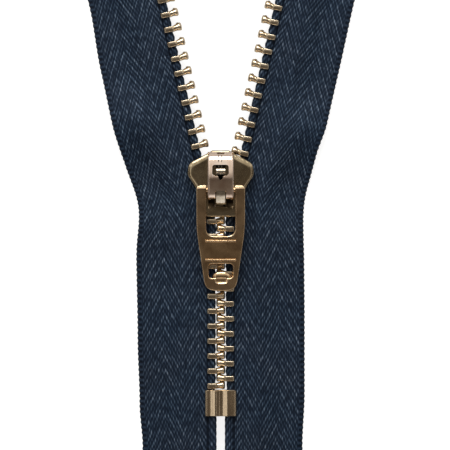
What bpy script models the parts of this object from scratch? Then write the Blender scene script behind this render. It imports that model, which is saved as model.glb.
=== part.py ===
"""A brass trouser zipper with its slider part way up, lying flat with its face up.

+Z is the zipper's face, +Y is the way the slider closes it, and the chain's middle line is
x = 0. The numbers below are millimetres and are turned into metres as meshes are made. In
them y = 0 is the rear edge of the slider; the whole part is then moved so that the origin is
under the middle of its box.

A strand is one tape with its beaded edge and its row of teeth. Each strand is cut into links:
a lower link that stays closed, a neck link inside the slider, a middle link and a top link.
Every link is drawn straight, as in the closed zipper, and then turned about its own hinge.
"""

import math

import bmesh
import bpy
from mathutils import Matrix, Vector

# Chain
PITCH = 2.72  # from one tooth to the next in the same row
BEAD_X = 1.70  # from the middle line to the middle of a tape's bead
TOOTH_TIP = 2.53  # from the bead's middle to the tip of a head
LEG_END = 0.72  # from the bead's middle to the outer end of a leg
LEG_HALF = 0.50  # half the thickness of the legs, along the chain
HEAD_HALF = 0.60  # half the thickness of a head, along the chain
CUP = 0.22  # height of a head's bump, and depth of its pocket
TOOTH_Z = 1.20  # half the height of a tooth
LAST_CLOSED = {-1: 1.92, 1: 0.56}  # the highest tooth of each lower link
LOWER_TEETH = {-1: 13, 1: 12}
NECK_TEETH = 3
MIDDLE_TEETH = 15
TOP_TEETH = 3
CLEAR = 0.03  # between a clamped piece and what it clamps
GAP = 0.02  # between faces that rest on each other

# Tapes
MID_Z = 2.15  # height of the chain's middle plane
TAPE_EDGE = 15.50  # from the middle line to a closed tape's outer edge
TAPE_HALF = 0.27  # half a tape's thickness
BEAD_R = 0.62
NECK_BEAD_R = 0.45  # the bead is squeezed inside the slider
DRAPE_FROM, DRAPE_TO = 4.7, 9.9  # from the bead, where the tape goes down to the table
DRAPE_DROP = MID_Z - TAPE_HALF
TAPE_BOTTOM, TAPE_TOP = -56.0, 80.0

# Hinges of the links, and the slider's travel
TRAVEL = 18 * PITCH
SPLAY = math.radians(12.9)
NECK = math.radians(16.0)
NECK_Y = 2.10
SPLAY_X, SPLAY_Y = 3.30, -0.31
TOP_Y = NECK_Y + TRAVEL

# Stops
STOP_TOP, STOP_BOTTOM = -31.44, -36.22
STOP_X, STOP_Z = 2.88, 1.55
END_STOP = (TOP_Y + 9.35, TOP_Y + 12.85)

# Slider
PLATE = 0.80
SLIDER_TOP = 2 * MID_Z
CAVITY_Z = MID_Z - PLATE  # half the height inside
SLIT_HALF = 0.42
SLIDER_HALF = [
    (3.20, 0.0),
    (3.35, 1.9),
    (4.55, 5.4),
    (5.85, 7.2),
    (6.00, 7.7),
    (6.00, 8.4),
    (5.75, 9.8),
    (1.95, 11.8),
    (1.60, 12.1),
]
WALL_AT, WALL_SLOPE = 1.93, math.tan(NECK)  # the channels' outer walls
DIAMOND = [(0.0, 6.2), (0.85, 9.0), (1.2, 10.4), (0.8, 11.8)]
CLAW_HOLE = (1.05, 1.55, 3.15)

# Crown, lock spring and tab
CROWN_X, CROWN_WALL = 2.36, 0.55
CROWN_SIDE = [
    (3.1, SLIDER_TOP),
    (11.8, SLIDER_TOP),
    (11.8, 6.2),
    (11.2, 6.95),
    (6.7, 7.0),
    (4.3, 6.85),
    (3.1, 5.6),
]
PIVOT_Y, PIVOT_Z = 4.90, 5.35
SPRING_Y, SPRING_Z = 10.60, 4.85
SPRING_HALF = 0.13
TAB_HALF = 0.55
TAB_TILT = math.radians(4.3)
BAR_R = 0.42
TAB_SIDE = [
    (3.9, 5.75),
    (4.35, 5.35),
    (4.40, 4.4),
    (4.40, -2.3),
    (2.95, -12.2),
    (2.45, -13.0),
    (1.6, -13.4),
]

MATERIALS = {
    "tape": ((0.012, 0.02, 0.045), 0.0, 0.9),
    "tooth": ((0.56, 0.42, 0.2), 1.0, 0.28),
    "stop": ((0.6, 0.45, 0.22), 1.0, 0.25),
    "slider": ((0.42, 0.31, 0.15), 1.0, 0.3),
    "crown": ((0.72, 0.5, 0.32), 1.0, 0.2),
    "spring": ((0.6, 0.58, 0.54), 1.0, 0.25),
    "tab": ((0.5, 0.36, 0.17), 1.0, 0.25),
}


def turned(point, pivot, angle):
    x, y = point[0] - pivot[0], point[1] - pivot[1]
    c, s = math.cos(angle), math.sin(angle)
    return pivot[0] + c * x - s * y, pivot[1] + s * x + c * y


def neck_map(side, point):
    return turned(point, (side * BEAD_X, NECK_Y), -side * NECK)


def middle_map(side, point):
    return turned(point, (side * SPLAY_X, SPLAY_Y), -side * SPLAY)


def same(side, point):
    return point


# The origin goes under the middle of the box: the top edge of a bead is its highest point.
HIGHEST = middle_map(-1, (-BEAD_X + BEAD_R, TAPE_TOP))[1]
SHIFT = -(HIGHEST + TAPE_BOTTOM) / 2

PIVOTS = {"root": (0.0, 0.0, 0.0), "slider": (0.0, 0.0, 0.0)}
PIVOTS["pull_tab"] = (0.0, PIVOT_Y, PIVOT_Z)
PIVOTS["lock_spring"] = (0.0, SPRING_Y, SPRING_Z)
for side_name, at in (("left", -1), ("right", 1)):
    PIVOTS[side_name + "_neck"] = (at * BEAD_X, NECK_Y, MID_Z)
    PIVOTS[side_name + "_middle"] = (at * SPLAY_X, SPLAY_Y, MID_Z)
    PIVOTS[side_name + "_top"] = (*middle_map(at, (at * BEAD_X, TOP_Y)), MID_Z)


def material(kind):
    found = bpy.data.materials.get(kind)
    if found:
        return found
    made = bpy.data.materials.new(kind)
    made.use_nodes = True
    colour, metal, rough = MATERIALS[kind]
    shader = made.node_tree.nodes["Principled BSDF"]
    shader.inputs["Base Color"].default_value = (*colour, 1.0)
    shader.inputs["Metallic"].default_value = metal
    shader.inputs["Roughness"].default_value = rough
    made.diffuse_color = (*colour, 1.0)
    return made


def make(name, body, kind, points, faces):
    """An object whose origin is on its body's joint."""
    pivot = Vector(PIVOTS[body])
    mesh = bpy.data.meshes.new(name)
    mesh.from_pydata([(Vector(p) - pivot) * 0.001 for p in points], [], faces)
    work = bmesh.new()
    work.from_mesh(mesh)
    bmesh.ops.recalc_face_normals(work, faces=work.faces[:])
    work.to_mesh(mesh)
    work.free()
    mesh.materials.append(material(kind))
    obj = bpy.data.objects.new(name, mesh)
    obj.location = (pivot + Vector((0, SHIFT, 0))) * 0.001
    bpy.context.scene.collection.objects.link(obj)
    return obj


def combine(obj, other, operation):
    """The Boolean of two objects, with the second one used up."""
    bpy.context.view_layer.update()
    step = obj.modifiers.new(operation, "BOOLEAN")
    step.object, step.operation, step.solver = other, operation, "EXACT"
    graph = bpy.context.evaluated_depsgraph_get()
    mesh = bpy.data.meshes.new_from_object(obj.evaluated_get(graph))
    obj.modifiers.remove(step)
    obj.data = mesh
    bpy.data.objects.remove(other, do_unlink=True)
    return obj


def prism(outline, low, high, axis="z"):
    """Points and faces of an outline pushed along an axis. On x the outline is in (y, z), on y in (x, z)."""
    place = {
        "z": lambda p, h: (p[0], p[1], h),
        "x": lambda p, h: (h, p[0], p[1]),
        "y": lambda p, h: (p[0], h, p[1]),
    }[axis]
    n = len(outline)
    points = [place(p, low) for p in outline] + [place(p, high) for p in outline]
    faces = [tuple(range(n)), tuple(range(2 * n - 1, n - 1, -1))]
    faces += [(i, (i + 1) % n, n + (i + 1) % n, n + i) for i in range(n)]
    return points, faces


def both_sides(half):
    """A whole outline from its right half, listed from one end to the other."""
    return half + [(-x, y) for x, y in reversed(half) if x > 0]


def box(x0, x1, y0, y1, z0, z1):
    return prism([(x0, y0), (x1, y0), (x1, y1), (x0, y1)], z0, z1)


def cut(obj, body, shape):
    return combine(obj, make("cutter", body, "stop", *shape), "DIFFERENCE")


def add(obj, body, shape):
    return combine(obj, make("adder", body, "stop", *shape), "UNION")


# A tooth's section, in (distance from the bead towards the heads, height). The head is the
# part past NECK_U. The upper half is given, and the lower half is its mirror image.
NECK_U = 0.87
HEAD_HALF_OUTLINE = [(NECK_U, 1.0), (1.12, 0.86), (2.2, 0.82), (TOOTH_TIP, 0.42)]
LEG_HALF_OUTLINE = [(-0.45, TOOTH_Z), (-LEG_END, 0.86)]
INSIDE = [(-LEG_END, 0.355), (-0.47, 0.47), (0.0, 0.665), (0.47, 0.47), (0.665, 0.0)]


def mirrored(half):
    return [(u, -z) for u, z in reversed(half) if z > 0]


def tooth_shape():
    """Points (u, t, z) and faces of one tooth, with its bump on the +t side."""
    head = HEAD_HALF_OUTLINE + mirrored(HEAD_HALF_OUTLINE)
    legs = [(0.45, TOOTH_Z)] + LEG_HALF_OUTLINE + INSIDE
    legs = legs + mirrored(legs)
    # once round: along the head from top to bottom, then back through the legs
    ring = head + list(reversed(legs))
    n, h = len(ring), len(head)
    points, faces = [], []
    for sign in (-1, 1):
        for i, (u, z) in enumerate(ring):
            half = HEAD_HALF if 0 < i < h - 1 else LEG_HALF
            points.append((u, sign * half, z))
    faces += [(i, (i + 1) % n, n + (i + 1) % n, n + i) for i in range(n)]
    middle = 1.72
    for sign, start in ((-1, 0), (1, n)):
        faces.append(tuple(start + i for i in [*range(h - 1, n), 0]))
        inner = len(points)
        for u, z in head:
            level = sign * HEAD_HALF + CUP
            points.append((middle + 0.42 * (u - middle), level, 0.42 * z))
        for i in range(h - 1):
            faces.append((start + i, start + i + 1, inner + i + 1, inner + i))
        faces.append((start + h - 1, start, inner, inner + h - 1))
        faces.append(tuple(range(inner, inner + h)))
    return points, faces


def placed(shape, side, along, mapping):
    """A tooth of one row, in the part's own frame."""
    points, faces = shape
    found = []
    for u, t, z in points:
        x, y = mapping(side, (side * (BEAD_X - u), along + t))
        found.append((x, y, MID_Z + z))
    return found, faces


def joined(shapes):
    points, faces = [], []
    for more, sides in shapes:
        faces += [tuple(len(points) + i for i in face) for face in sides]
        points += more
    return points, faces


def drape(v):
    """How far a tape's middle is below the chain's middle plane, at v from the bead."""
    t = min(max((v - DRAPE_FROM) / (DRAPE_TO - DRAPE_FROM), 0.0), 1.0)
    return DRAPE_DROP * t * t * (3 - 2 * t)


def tape_section(radius, extra=0.0):
    """A tape's outline across, with its bead, as (distance from the bead outwards, height)."""
    half, edge = TAPE_HALF + extra, TAPE_EDGE - BEAD_X + extra
    r = radius + extra
    bead = [(r * math.cos(a), r * math.sin(a)) for a in [math.radians(d) for d in
            (45, 90, 135, 180, 225, 270, 315)]]
    across = [0.8, DRAPE_FROM, 5.9, 7.3, 8.7, DRAPE_TO, edge]
    under = [(v, -drape(v) - half) for v in across]
    over = [(v, -drape(v) + half) for v in reversed(across)]
    return bead + under + over


def loft(sections):
    """Points and faces through rings of equal length."""
    n = len(sections[0])
    points = [p for ring in sections for p in ring]
    faces = [tuple(range(n)), tuple(range(len(points) - 1, len(points) - n - 1, -1))]
    for k in range(len(sections) - 1):
        a, b = k * n, (k + 1) * n
        faces += [(a + i, a + (i + 1) % n, b + (i + 1) % n, b + i) for i in range(n)]
    return points, faces


def tape_ring(bead, turn, outer, radius):
    """A tape's outline at a bead point. turn is the bead's own turn, and outer the edge point."""
    side = 1 if outer[0] > bead[0] else -1
    out = (side * math.cos(turn), side * math.sin(turn))
    start = (bead[0] + 0.8 * out[0], bead[1] + 0.8 * out[1])
    edge = TAPE_EDGE - BEAD_X
    ring = []
    for v, z in tape_section(radius):
        if v <= 0.8:
            x, y = bead[0] + v * out[0], bead[1] + v * out[1]
        else:
            f = (v - 0.8) / (edge - 0.8)
            x = start[0] + f * (outer[0] - start[0])
            y = start[1] + f * (outer[1] - start[1])
        ring.append((x, y, MID_Z + z))
    return ring


def build_strand(side, name):
    """One tape with its bead, its teeth and its top stop."""
    last, tooth = LAST_CLOSED[side], tooth_shape()
    corner_y = SPLAY_Y - (TAPE_EDGE - SPLAY_X) * math.tan(SPLAY / 2)
    corner = (side * TAPE_EDGE, corner_y)
    mitre = (side * BEAD_X, NECK_Y)

    def ring(along, mapping, angle, radius):
        bead = mapping(side, (side * BEAD_X, along))
        return tape_ring(bead, -side * angle, mapping(side, (side * TAPE_EDGE, along)), radius)

    lower = [
        ring(TAPE_BOTTOM, same, 0.0, BEAD_R),
        tape_ring(mitre, -side * NECK / 2, corner, BEAD_R),
    ]
    make(f"{name}_tape_lower", "root", "tape", *loft(lower))

    up = (mitre[0], mitre[1] + GAP)
    neck_end = neck_map(side, (side * BEAD_X, 11.0))
    edge_point = middle_map(side, (side * TAPE_EDGE, 10.6))
    middle = [
        tape_ring(up, -side * NECK / 2, (corner[0], corner[1] + GAP), NECK_BEAD_R),
        tape_ring(neck_end, -side * (NECK + SPLAY) / 2, edge_point, NECK_BEAD_R),
        ring(12.0, middle_map, SPLAY, NECK_BEAD_R),
        ring(12.2, middle_map, SPLAY, BEAD_R),
        ring(TOP_Y - GAP / 2, middle_map, SPLAY, BEAD_R),
    ]
    make(f"{name}_tape_middle", f"{name}_middle", "tape", *loft(middle))
    top = [
        ring(TOP_Y + GAP / 2, middle_map, SPLAY, BEAD_R),
        ring(TAPE_TOP, middle_map, SPLAY, BEAD_R),
    ]
    make(f"{name}_tape_top", f"{name}_top", "tape", *loft(top))

    for k in range(LOWER_TEETH[side]):
        along = last - PITCH * (LOWER_TEETH[side] - 1 - k)
        shape = placed(tooth, side, along, same)
        make(f"{name}_tooth_{k + 1:02d}", "root", "tooth", *shape)
    for k in range(NECK_TEETH):
        shape = placed(tooth, side, last + PITCH * (k + 1), neck_map)
        make(f"{name}_neck_tooth_{k + 1}", f"{name}_neck", "tooth", *shape)

    first = last + PITCH * (NECK_TEETH + 1)
    end = first + PITCH * (MIDDLE_TEETH - 1)
    row = [placed(tooth, side, first + PITCH * k, middle_map) for k in range(MIDDLE_TEETH)]
    teeth = make(f"{name}_teeth_middle", f"{name}_middle", "tooth", *joined(row))
    # a thin web stands for the tape that carries this row, so that the row is one body
    web = []
    for u, t in ((0.66, first), (0.82, first), (0.82, end), (0.66, end)):
        web.append(middle_map(side, (side * (BEAD_X - u), t)))
    add(teeth, f"{name}_middle", prism(web, MID_Z - 0.12, MID_Z + 0.12))
    for k in range(TOP_TEETH):
        shape = placed(tooth, side, end + PITCH * (k + 1), middle_map)
        make(f"{name}_top_tooth_{k + 1}", f"{name}_top", "tooth", *shape)

    build_top_stop(side, name)


def clamp_cutter(side, low, high, mapping):
    """What a clamp leaves free for a bead and its tape."""
    rings = []
    for along in (low, high):
        ring = []
        for v, z in tape_section(BEAD_R, CLEAR):
            ring.append((*mapping(side, (side * (BEAD_X + v), along)), MID_Z + z))
        rings.append(ring)
    return loft(rings)


def build_top_stop(side, name):
    low, high = END_STOP
    half = [(1.05, 0.55), (0.75, 1.3), (-0.35, 1.45), (-0.85, 1.15), (-0.85, 0.0)]
    outline = half + [(u, -z) for u, z in reversed(half) if z > 0]
    rings = []
    for along in (low, high):
        ring = []
        for u, z in outline:
            ring.append((*middle_map(side, (side * (BEAD_X - u), along)), MID_Z + z))
        rings.append(ring)
    stop = make(f"{name}_top_stop", f"{name}_top", "stop", *loft(rings))
    cut(stop, f"{name}_top", clamp_cutter(side, low - 1, high + 1, middle_map))


def build_bottom_stop():
    half = [(STOP_X, 0.0), (STOP_X, 1.1), (STOP_X - 0.45, STOP_Z), (0.0, STOP_Z)]
    upper = half + [(-x, z) for x, z in reversed(half[1:-1])] + [(-STOP_X, 0.0)]
    outline = upper + [(x, -z) for x, z in reversed(upper[1:-1])]
    outline = [(x, z + MID_Z) for x, z in outline]
    shape = prism(outline, STOP_BOTTOM, STOP_TOP, "y")
    stop = make("bottom_stop", "root", "stop", *shape)
    for side in (-1, 1):
        cut(stop, "root", clamp_cutter(side, STOP_BOTTOM - 1, STOP_TOP + 1, same))


def build_slider():
    body = make("slider_body", "slider", "slider", *prism(both_sides(SLIDER_HALF), 0, SLIDER_TOP))
    knee = (2.5 - WALL_AT) / WALL_SLOPE
    channel = [(2.5, -1.0), (2.5, knee), (WALL_AT + WALL_SLOPE * 8.6, 8.6), (7.5, 9.2), (7.5, 13.5)]
    low, high = MID_Z - CAVITY_Z, MID_Z + CAVITY_Z
    cut(body, "slider", prism(both_sides(channel), low, high))
    add(body, "slider", prism(both_sides(DIAMOND), low - 0.2, high + 0.2))
    for x0, x1 in ((-8, -2.2), (2.2, 8)):
        cut(body, "slider", box(x0, x1, -1, 9.4, MID_Z - SLIT_HALF, MID_Z + SLIT_HALF))
    half, rear, front = CLAW_HOLE
    cut(body, "slider", box(-half, half, rear, front, high - 0.3, SLIDER_TOP + 1))

    side = [(y, z + (GAP if z == SLIDER_TOP else 0)) for y, z in CROWN_SIDE]
    crown = make("crown_cover", "slider", "crown", *prism(side, -CROWN_X, CROWN_X, "x"))
    inner = CROWN_X - CROWN_WALL
    inside = [(2.0, 4.0), (11.25, 4.0), (11.25, 6.1), (10.9, 6.48), (6.7, 6.52), (4.5, 6.45), (2.0, 5.2)]
    cut(crown, "slider", prism(inside, -inner, inner, "x"))
    cut(crown, "slider", box(-1.55, 1.45, 7.07, 9.43, 5, 8))  # the window over the spring
    cut(crown, "slider", box(-1.0, 1.0, 2.0, 4.71, 5, 8))  # the rear slot for the tongue
    cut(crown, "slider", box(-0.68, 0.68, 11.4, 12.5, 5.2, 8))  # the notch at the front
    slot = [(PIVOT_Y - 0.75, 4.0), (PIVOT_Y + 0.75, 4.0), (PIVOT_Y + 0.75, 5.5),
            (PIVOT_Y + 0.4, 5.9), (PIVOT_Y - 0.4, 5.9), (PIVOT_Y - 0.75, 5.5)]
    cut(crown, "slider", prism(slot, -3, 3, "x"))  # where the tab's bar turns


def build_spring():
    """A springy strip held at the front, over the tab's bar, with a tongue into the claw hole."""
    line = [(10.95, 4.50), (10.6, 4.85), (10.0, 5.45), (9.2, 5.9), (8.2, 6.02), (7.0, 5.98),
            (4.2, 5.98), (3.5, 5.85), (3.05, 5.4), (2.55, 4.3), (2.42, 3.60)]
    upper, lower = [], []
    for i, (y, z) in enumerate(line):
        a, b = line[max(i - 1, 0)], line[min(i + 1, len(line) - 1)]
        along = Vector((b[0] - a[0], b[1] - a[1])).normalized()
        across = Vector((-along.y, along.x)) * SPRING_HALF
        upper.append((y + across.x, z + across.y))
        lower.append((y - across.x, z - across.y))
    make("lock_spring", "lock_spring", "spring", *prism(upper + lower[::-1], -0.85, 0.85, "x"))


def rounded(x0, x1, y0, y1, r, steps=3):
    """A rectangle with round corners."""
    found = []
    for cx, cy, start in ((x1 - r, y1 - r, 0), (x0 + r, y1 - r, 90), (x0 + r, y0 + r, 180),
                          (x1 - r, y0 + r, 270)):
        for k in range(steps + 1):
            a = math.radians(start + 90 * k / steps)
            found.append((cx + r * math.cos(a), cy + r * math.sin(a)))
    return found


def build_tab():
    low, high = PIVOT_Z - TAB_HALF, PIVOT_Z + TAB_HALF
    outline = both_sides(TAB_SIDE)
    tab = make("pull_tab", "pull_tab", "tab", *prism(outline, low, high))
    window = rounded(-2.63, 2.63, -3.44, 8.0, 1.2)
    cut(tab, "pull_tab", prism(window, low - 1, high + 1))
    cut(tab, "pull_tab", prism(rounded(-2.18, 2.18, -11.06, -8.5, 0.5), low - 1, high + 1))
    bar = []
    for k in range(12):
        a = math.radians(30 * k + 15)
        bar.append((PIVOT_Y + BAR_R * math.cos(a), PIVOT_Z + BAR_R * math.sin(a)))
    add(tab, "pull_tab", prism(bar, -3.6, 3.6, "x"))
    for y in (-4.35, -7.8):
        add(tab, "pull_tab", box(-2.83, 2.83, y - 0.3, y + 0.3, high - 0.2, high + 0.22))
    tab.data.transform(Matrix.Rotation(TAB_TILT, 4, "X"))


def main():
    for obj in list(bpy.data.objects):
        bpy.data.objects.remove(obj, do_unlink=True)
    build_bottom_stop()
    build_strand(-1, "left")
    build_strand(1, "right")
    build_slider()
    build_spring()
    build_tab()


main()
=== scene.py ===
import math

import bmesh
import bpy
import numpy as np
from mathutils import Matrix, Vector

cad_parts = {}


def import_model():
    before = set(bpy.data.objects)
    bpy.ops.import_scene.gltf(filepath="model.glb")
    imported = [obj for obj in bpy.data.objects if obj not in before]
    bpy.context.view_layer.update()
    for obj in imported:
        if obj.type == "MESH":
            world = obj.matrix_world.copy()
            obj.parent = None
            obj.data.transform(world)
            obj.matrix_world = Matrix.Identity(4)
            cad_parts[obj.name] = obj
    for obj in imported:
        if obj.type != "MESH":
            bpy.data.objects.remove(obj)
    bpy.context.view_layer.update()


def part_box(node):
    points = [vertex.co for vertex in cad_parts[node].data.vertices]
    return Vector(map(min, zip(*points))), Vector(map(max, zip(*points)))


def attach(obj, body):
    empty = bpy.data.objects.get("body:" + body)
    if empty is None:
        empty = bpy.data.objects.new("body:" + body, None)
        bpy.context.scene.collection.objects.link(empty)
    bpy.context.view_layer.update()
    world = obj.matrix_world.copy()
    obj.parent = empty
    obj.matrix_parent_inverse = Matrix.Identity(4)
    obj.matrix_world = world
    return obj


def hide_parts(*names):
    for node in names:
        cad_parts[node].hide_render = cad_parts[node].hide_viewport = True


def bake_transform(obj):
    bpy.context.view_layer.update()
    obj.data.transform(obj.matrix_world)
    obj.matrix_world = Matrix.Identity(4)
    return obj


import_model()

# Everything below is in millimetres until a mesh is made. y = 0 is the slider's rear edge, as
# in the CAD part, and REAR moves it to its place in the frame.
MM = 0.001
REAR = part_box("slider_body")[0].y / MM
SLIDER_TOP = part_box("slider_body")[1].z / MM
MID_Z = SLIDER_TOP / 2

# The chain and the strands, as in the CAD part
PITCH = 2.72
BEAD_X = 1.70
LAST_CLOSED = {-1: 1.92, 1: 0.56}
LOWER_TEETH = {-1: 13, 1: 12}
NECK_TEETH, MIDDLE_TEETH, TOP_TEETH = 3, 15, 3
TAPE_EDGE = 15.50
TAPE_HALF = 0.27
DRAPE_FROM, DRAPE_TO = 4.7, 9.9
DRAPE_DROP = MID_Z - TAPE_HALF
TAPE_BOTTOM, TAPE_TOP = -56.0, 80.0
TRAVEL = 18 * PITCH
SPLAY = math.radians(12.9)
NECK = math.radians(16.0)
NECK_Y = 2.10
SPLAY_X, SPLAY_Y = 3.30, -0.31
TOP_Y = NECK_Y + TRAVEL
STOP_TOP, STOP_BOTTOM = -31.44, -36.22
END_STOP = (TOP_Y + 9.35, TOP_Y + 12.85)

# Where the cloth bends, along the chain: BEND is measured from the slider's rear edge, and
# TOP_BEND from the place where the top link turns
BEND = (-8.0, 12.0)
SEAM = 30.0  # where a tape's two pieces meet, on its straight stretch

# Weave
BEAD_RADIUS = 0.62
YARN = 0.332  # from one warp yarn to the next
STEP = 0.635  # how far the float moves along from one yarn to the next
TURNS = (15, 25, 35)  # yarns from the outer edge, where the twill turns back
RELIEF = 0.10
SCALLOP = 0.96  # one loop of the outer edge
SELVEDGE = 1.0  # width of the looped outer edge
BENDING_PASSES = 40  # until a bent point no longer moves
ROW = 0.18  # along the tape, between rows of the mesh

SIDES = {"left": -1, "right": 1}
rng = np.random.default_rng(7)


# ---------------------------------------------------------------- small tools


def smooth(t):
    t = np.clip(t, 0.0, 1.0)
    return t * t * (3 - 2 * t)


def turned(x, y, pivot, angle):
    """A place turned about a pivot, anticlockwise from above."""
    c, s = np.cos(angle), np.sin(angle)
    dx, dy = x - pivot[0], y - pivot[1]
    return pivot[0] + c * dx - s * dy, pivot[1] + s * dx + c * dy


def neck_map(side, x, y):
    """Where a point of the closed zipper lies at rest on a strand's neck, in the slider."""
    return turned(x, y, (side * BEAD_X, NECK_Y), -side * NECK)


def middle_map(side, x, y):
    """Where a point of the closed zipper lies at rest on an open strand."""
    return turned(x, y, (side * SPLAY_X, SPLAY_Y), -side * SPLAY)


def same(side, x, y):
    """The map of the closed chain, which lies at rest as it was built."""
    return x, y


def world(point):
    """A point of the part in metres, in the frame."""
    return Vector((point[0], point[1] + REAR, point[2])) * MM


def make(name, points, faces, material, smooth_under=35):
    """A mesh object from points in the part's own millimetres, with its faces turned outwards."""
    mesh = bpy.data.meshes.new(name)
    moved = (np.array(points, float) + (0, REAR, 0)) * MM
    mesh.from_pydata(moved.tolist(), [], faces)
    work = bmesh.new()
    work.from_mesh(mesh)
    bmesh.ops.recalc_face_normals(work, faces=work.faces[:])
    work.to_mesh(mesh)
    work.free()
    obj = bpy.data.objects.new(name, mesh)
    bpy.context.scene.collection.objects.link(obj)
    finish_surface(obj, material, smooth_under)
    return obj


def finish_surface(obj, material, smooth_under=35):
    """One material, and smooth shading except at edges sharper than so many degrees."""
    obj.data.materials.clear()
    obj.data.materials.append(material)
    obj.data.shade_smooth()
    obj.data.set_sharp_from_angle(angle=math.radians(smooth_under))


def even_out(obj):
    """Normals weighted by the size of each face, so that a flat face next to a rounded rim looks flat."""
    step = obj.modifiers.new("even", "WEIGHTED_NORMAL")
    step.keep_sharp = True
    step.weight = 100
    bpy.context.view_layer.update()
    graph = bpy.context.evaluated_depsgraph_get()
    mesh = bpy.data.meshes.new_from_object(obj.evaluated_get(graph))
    obj.modifiers.remove(step)
    obj.data = mesh


def paint_shade(obj, share):
    """Stores how much painted shade each point gets, from its place in the part's own millimetres."""
    places = np.empty(len(obj.data.vertices) * 3)
    obj.data.vertices.foreach_get("co", places)
    x, y, z = (places.reshape(-1, 3) / MM - (0, REAR, 0)).T
    layer = obj.data.attributes.new("painted_shade", "FLOAT", "POINT")
    layer.data.foreach_set("value", np.array(share(x, y, z), np.float32))


def combine(obj, other, operation):
    """The Boolean of two objects, with the second one used up."""
    material = obj.data.materials[0]
    bpy.context.view_layer.update()
    step = obj.modifiers.new(operation, "BOOLEAN")
    step.object, step.operation, step.solver = other, operation, "EXACT"
    graph = bpy.context.evaluated_depsgraph_get()
    mesh = bpy.data.meshes.new_from_object(obj.evaluated_get(graph))
    obj.modifiers.remove(step)
    obj.data = mesh
    bpy.data.objects.remove(other, do_unlink=True)
    finish_surface(obj, material)
    return obj


def cut(obj, shape):
    """The object with a shape taken out of it. A shape is (points, faces)."""
    return combine(obj, make("cutter", *shape, obj.data.materials[0]), "DIFFERENCE")


def add(obj, shape):
    """The object with a shape joined to it."""
    return combine(obj, make("adder", *shape, obj.data.materials[0]), "UNION")


def rounded(outline, cut_back, steps=5):
    """A closed outline with each corner turned into a short curve. cut_back may be one length or a list."""
    n = len(outline)
    lengths = cut_back if isinstance(cut_back, list) else [cut_back] * n
    found = []
    for i, (point, length) in enumerate(zip(outline, lengths)):
        corner = np.array(point, float)
        if length == 0:
            found.append(tuple(corner))
            continue
        before, after = np.array(outline[i - 1], float), np.array(outline[(i + 1) % n], float)
        start = corner + (before - corner) * min(length / np.linalg.norm(before - corner), 0.48)
        end = corner + (after - corner) * min(length / np.linalg.norm(after - corner), 0.48)
        for k in range(steps + 1):
            t = k / steps
            found.append(tuple((1 - t) ** 2 * start + 2 * t * (1 - t) * corner + t * t * end))
    return found


def through(points, steps):
    """A smooth path through the points (Catmull-Rom)."""
    points = [np.array(p, float) for p in points]
    points = [2 * points[0] - points[1], *points, 2 * points[-1] - points[-2]]
    found = []
    for i in range(1, len(points) - 2):
        p0, p1, p2, p3 = points[i - 1 : i + 3]
        for k in range(steps):
            t = k / steps
            found.append(
                0.5 * (2 * p1 + (p2 - p0) * t + (2 * p0 - 5 * p1 + 4 * p2 - p3) * t * t
                       + (3 * p1 - p0 - 3 * p2 + p3) * t**3)
            )
    found.append(points[-2])
    return found


def both_sides(half):
    """A whole outline from its right half, listed from one end to the other."""
    return half + [(-x, y) for x, y in reversed(half) if x > 0]


def outward(outline):
    """At each point of a closed outline, the way out, long enough to keep the walls parallel."""
    points = np.array(outline, float)
    ahead = np.roll(points, -1, axis=0) - points
    ahead /= np.linalg.norm(ahead, axis=1)[:, None]
    across = np.stack([ahead[:, 1], -ahead[:, 0]], axis=1)
    both = across + np.roll(across, 1, axis=0)
    both /= np.linalg.norm(both, axis=1)[:, None]
    area = np.sum(points[:, 0] * np.roll(points[:, 1], -1) - np.roll(points[:, 0], -1) * points[:, 1])
    widening = 1 / np.clip(np.sum(both * across, axis=1), 0.6, 1)
    return both * widening[:, None] * np.sign(area)


def stack(outline, levels, axis="z"):
    """Points and faces of an outline pushed along an axis through (place, outward offset) levels."""
    place = {
        "z": lambda p, h: (p[0], p[1], h),
        "x": lambda p, h: (h, p[0], p[1]),
        "y": lambda p, h: (p[0], h, p[1]),
    }[axis]
    base, out = np.array(outline, float), outward(outline)
    rings = [[place(p, h) for p in base + out * offset] for h, offset in levels]
    return loft(rings)


def loft(rings):
    """Points and faces through closed rings of equal length, with both ends capped."""
    n = len(rings[0])
    points = [tuple(p) for ring in rings for p in ring]
    faces = [list(range(n)), list(range(len(points) - 1, len(points) - n - 1, -1))]
    for k in range(len(rings) - 1):
        a, b = k * n, (k + 1) * n
        faces += [[a + i, a + (i + 1) % n, b + (i + 1) % n, b + i] for i in range(n)]
    return points, faces


def quarter(steps=4):
    """Quarter-circle pairs (1 - cos, 1 - sin), from a flat face round to a wall."""
    angles = [math.pi / 2 * k / steps for k in range(steps + 1)]
    return [(1 - math.cos(a), 1 - math.sin(a)) for a in angles]


def slab_levels(low, high, edge):
    """Levels of a plate whose two rims are rounded with the radius edge."""
    start = [(low + edge * rise, -edge * inset) for rise, inset in quarter()]
    end = [(high - edge * rise, -edge * inset) for rise, inset in reversed(quarter())]
    return start + end


def hole_levels(low, high, edge):
    """Levels of a cutter that goes right through a plate and rounds the rims of its hole."""
    start = [(low + edge * rise, edge * inset) for rise, inset in quarter()]
    end = [(high - edge * rise, edge * inset) for rise, inset in reversed(quarter())]
    return [(low - 0.5, edge)] + start + end + [(high + 0.5, edge)]


def block(x0, x1, y0, y1, z0, z1):
    """Points and faces of a box."""
    return stack([(x0, y0), (x1, y0), (x1, y1), (x0, y1)], [(z0, 0), (z1, 0)])


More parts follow.
